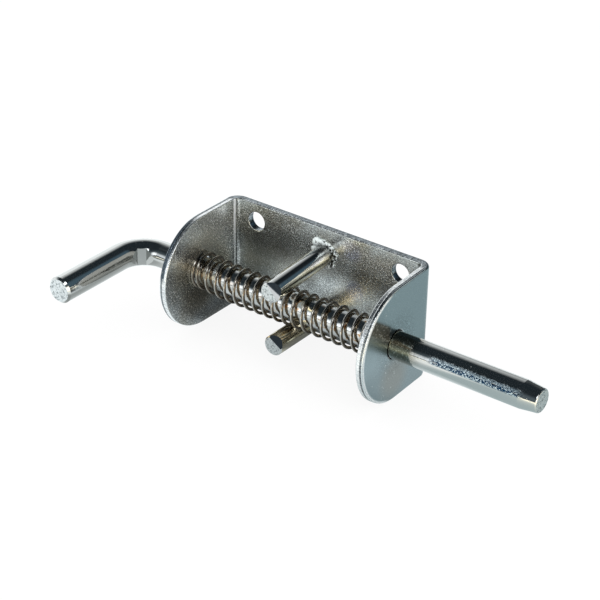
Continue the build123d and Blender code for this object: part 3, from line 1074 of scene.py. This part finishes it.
spring = {
    "wireRadius": 0.7,
    "coilRadius": 7.7,
    "closedTurns": 0.5,
    "easingTurns": 1.0,
    "activeTurns": 16.31,
    "closedPitch": 1.46,
    "groundDepth": 0.35,
    "startAngle": 92.0,  # degrees round the bolt, from the wall side towards the top
    "hang": -0.7,  # the coils' middle against the bolt's, along most of the spring
    "lift": 0.5,  # the same at the handle's end, where the last coil is pinched against the ear
    "liftReach": 17.0,
    "stepsPerTurn": 36,
    "travel": 56.0,  # by which the bolt squeezes it
    "smoothTo": 40.0,  # degrees
}

wire = {
    "bright": (0.62, 0.61, 0.58),
    "paintedLightAndShade": (0.17, 0.145, 0.115),  # painted shade, dark brown, on the side towards the tip
    "paintedShadeWidth": (0.3, 0.85),  # cosines of the angle from there, between which it comes in
    "inner": (0.44, 0.35, 0.25),  # towards the bolt
    "innerWidth": (-0.1, -0.7),
    "roughness": (0.09, 0.18),
    "grainSize": 0.8,
    "grainHeight": 0.02,
}


def smooth(share):
    share = min(max(share, 0.0), 1.0)
    return share * share * (3 - 2 * share)


def makeSpring(material):
    low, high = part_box("spring")
    startX = low.x / mm + spring["wireRadius"] - spring["groundDepth"]
    endX = high.x / mm - spring["wireRadius"] + spring["groundDepth"]
    closed, easing, active = spring["closedTurns"], spring["easingTurns"], spring["activeTurns"]
    turns = 2 * closed + 2 * easing + active
    slack = endX - startX - turns * spring["closedPitch"]
    rise = slack / (active + easing)  # what the open turns have over the closed ones
    steps = round(turns * spring["stepsPerTurn"])
    curve = bpy.data.curves.new("springWire", "CURVE")
    curve.dimensions = "3D"
    curve.bevel_depth = spring["wireRadius"] * mm
    curve.bevel_resolution = 4
    curve.use_fill_caps = True
    line = curve.splines.new("POLY")
    line.points.add(steps)
    x = startX
    for i in range(steps + 1):
        turn = turns * i / steps
        angle = radians(spring["startAngle"] + 360 * turn)
        lifted = smooth(1 - (x - startX) / spring["liftReach"])
        y = latch["boltY"] + spring["coilRadius"] * cos(angle)
        z = spring["hang"] + (spring["lift"] - spring["hang"]) * lifted + spring["coilRadius"] * sin(angle)
        line.points[i].co = (x * mm, y * mm, z * mm, 1)
        opened = min(max((min(turn, turns - turn) - closed) / easing, 0.0), 1.0)
        x += (spring["closedPitch"] + rise * opened) * turns / steps
    piece = bpy.data.objects.new("springCoil", curve)
    bpy.context.scene.collection.objects.link(piece)
    selectOnly(piece)
    bpy.ops.object.convert(target="MESH")
    piece = bpy.context.object
    cutOff(piece, low, (-1, 0, 0))
    cutOff(piece, (high.x, 0, 0), (1, 0, 0))
    selectOnly(piece)
    bpy.ops.object.shade_smooth_by_angle(angle=radians(spring["smoothTo"]))
    finish(piece, "spring", "bracket", material)
    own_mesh(piece)


def makeSpringSteel():
    material, tree, shader = startMetal("springSteel")
    coords = objectCoords(tree)
    normal = tree.nodes.new("ShaderNodeTexCoord").outputs["Normal"]
    fine = grain(tree, coords, wire["grainSize"], 3)
    towardsTip = split(tree, normal)[0]
    outward = vector(tree, "MULTIPLY", coords, (0, 1, 1))
    outward = vector(tree, "SUBTRACT", outward, (0, latch["boltY"] * mm, 0))
    outward = vector(tree, "DOT_PRODUCT", vector(tree, "NORMALIZE", outward), normal)
    # a painted shade on the wire's side towards the tip
    paintedLightAndShade = calc(tree, "ADD", towardsTip, product(tree, fine, 0.5))
    paintedLightAndShade = fade(tree, paintedLightAndShade, *wire["paintedShadeWidth"])
    tint = blendColour(tree, paintedLightAndShade, wire["bright"], wire["paintedLightAndShade"])
    inner = fade(tree, outward, *wire["innerWidth"])
    tint = blendColour(tree, inner, tint, wire["inner"])
    plug(tree, tint, shader.inputs["Base Color"])
    plug(tree, fade(tree, fine, 0.3, 0.7, *wire["roughness"]), shader.inputs["Roughness"])
    plug(tree, bump(tree, fine, wire["grainHeight"]), shader.inputs["Normal"])
    return material


makeSpring(makeSpringSteel())

# Weld beads: a thin lumpy ring round each stud's foot, with drops beside it

weld = {
    "beadOut": 0.35,  # the ring's middle outside the stud's surface
    "beadRadius": 0.75,
    # degrees from the tip side towards the top, distance from the stud's middle, radius, length in radii
    "upperDrops": (
        (132, 6.3, 1.5, 1.25), (112, 5.5, 1.0, 1.3), (96, 5.3, 1.15, 1.2), (66, 5.2, 0.7, 1.3),
        (42, 5.3, 0.75, 1.8), (24, 5.5, 0.6, 1.4), (6, 5.8, 0.85, 2.2), (-20, 5.4, 0.65, 1.3),
        (-42, 6.2, 0.95, 1.0), (-66, 5.8, 1.0, 1.6), (-100, 5.2, 0.8, 1.3), (172, 6.1, 0.8, 1.2),
        (150, 5.6, 0.7, 1.2), (-150, 5.4, 0.8, 1.4),
    ),
    "lowerDrops": (
        (20, 5.4, 0.8, 1.4), (60, 5.2, 0.7, 1.3), (100, 5.6, 0.9, 1.2), (140, 5.3, 0.7, 1.5),
        (185, 5.6, 0.9, 1.2), (225, 5.2, 0.7, 1.6), (262, 5.7, 1.0, 1.1), (300, 5.3, 0.7, 1.5),
        (335, 5.9, 0.7, 1.0),
    ),
    # painted highlights and shade: light, matt lumps stand in for the beads' highlights, and dark ones for
    # their shaded notches
    "light": (0.92, 1.0, 1.0),
    "paintedNotchShade": (0.09, 0.10, 0.10),
    "lumpSize": 1.0,
    "lumpHeight": 0.5,
    "lightFrom": (0.44, 0.49),
    "roughness": (0.15, 0.3),
    "matt": 0.9,
    "paintedLighting": (-2.0, 6.0, 0.06, -0.05),  # more painted highlights towards the handle, fewer towards the tip
    "fuller": 1.22,  # the drops against the radii above
    "flatness": 0.75,
    "dropOut": 0.3,  # how far a drop's middle stands out of the plate, in radii
    "strayOut": 0.4,
    "stray": ((3.4, 9.6, 0.45), (-7.4, 15.2, 0.3)),  # spatter on the plate by the upper stud: x, z, radius
    "meshSize": 0.22,
}


def addBall(place, radius, scale=(1, 1, 1), turn=0.0):
    deselectAll()
    bpy.ops.mesh.primitive_ico_sphere_add(subdivisions=3, radius=radius * mm, location=Vector(place) * mm)
    ball = bpy.context.object
    ball.scale = scale
    ball.rotation_euler = (0, turn, 0)
    return ball


def makeWeldMetal():
    material, tree, shader = startMetal("weldMetal")
    coords = objectCoords(tree)
    lumps = grain(tree, coords, weld["lumpSize"], 3, 0.65)
    lumps = calc(tree, "ADD", lumps, fadeAlong(tree, split(tree, coords)[0], *weld["paintedLighting"]))
    # the light lumps are painted highlights, the dark ones painted shade
    light = fade(tree, lumps, *weld["lightFrom"])
    tint = blendColour(tree, light, weld["paintedNotchShade"], weld["light"])
    plug(tree, tint, shader.inputs["Base Color"])
    plug(tree, fade(tree, lumps, 0.3, 0.7, *weld["roughness"]), shader.inputs["Roughness"])
    plug(tree, calc(tree, "SUBTRACT", 1.0, product(tree, light, weld["matt"])), shader.inputs["Metallic"])
    plug(tree, bump(tree, lumps, weld["lumpHeight"]), shader.inputs["Normal"])
    return material


def makeWeld(node, drops, material, stray=()):
    low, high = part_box(node)
    middle = (low + high) / 2 / mm
    face = -latch["sheet"]
    deselectAll()
    bpy.ops.mesh.primitive_torus_add(
        location=Vector((middle.x, face, middle.z)) * mm,
        rotation=(pi / 2, 0, 0),
        major_radius=(latch["studRadius"] + weld["beadOut"]) * mm,
        minor_radius=weld["beadRadius"] * mm,
        major_segments=64,
        minor_segments=16,
    )
    pieces = [bpy.context.object]
    for angle, out, radius, length in drops:
        a = radians(angle)
        place = (middle.x + out * cos(a), face - weld["dropOut"] * radius, middle.z + out * sin(a))
        pieces.append(addBall(place, radius * weld["fuller"], (1, weld["flatness"], length), -a))
    for x, z, radius in stray:
        pieces.append(addBall((x, face - weld["strayOut"] * radius, z), radius))
    piece = join(node.replace("_", " ").title().replace(" ", "") + "Bead", pieces)
    remesh = piece.modifiers.new("fuse", "REMESH")
    remesh.mode = "VOXEL"
    remesh.voxel_size = weld["meshSize"] * mm
    soften = piece.modifiers.new("soften", "SMOOTH")
    soften.factor = 0.5
    soften.iterations = 3
    applyAll(piece)
    cutOff(piece, (0, face * mm, 0), (0, 1, 0))
    bpy.ops.object.shade_smooth()
    finish(piece, node, "bracket", material)


weldMetal = makeWeldMetal()
makeWeld("upper_weld", weld["upperDrops"], weldMetal, weld["stray"])
makeWeld("lower_weld", weld["lowerDrops"], weldMetal)
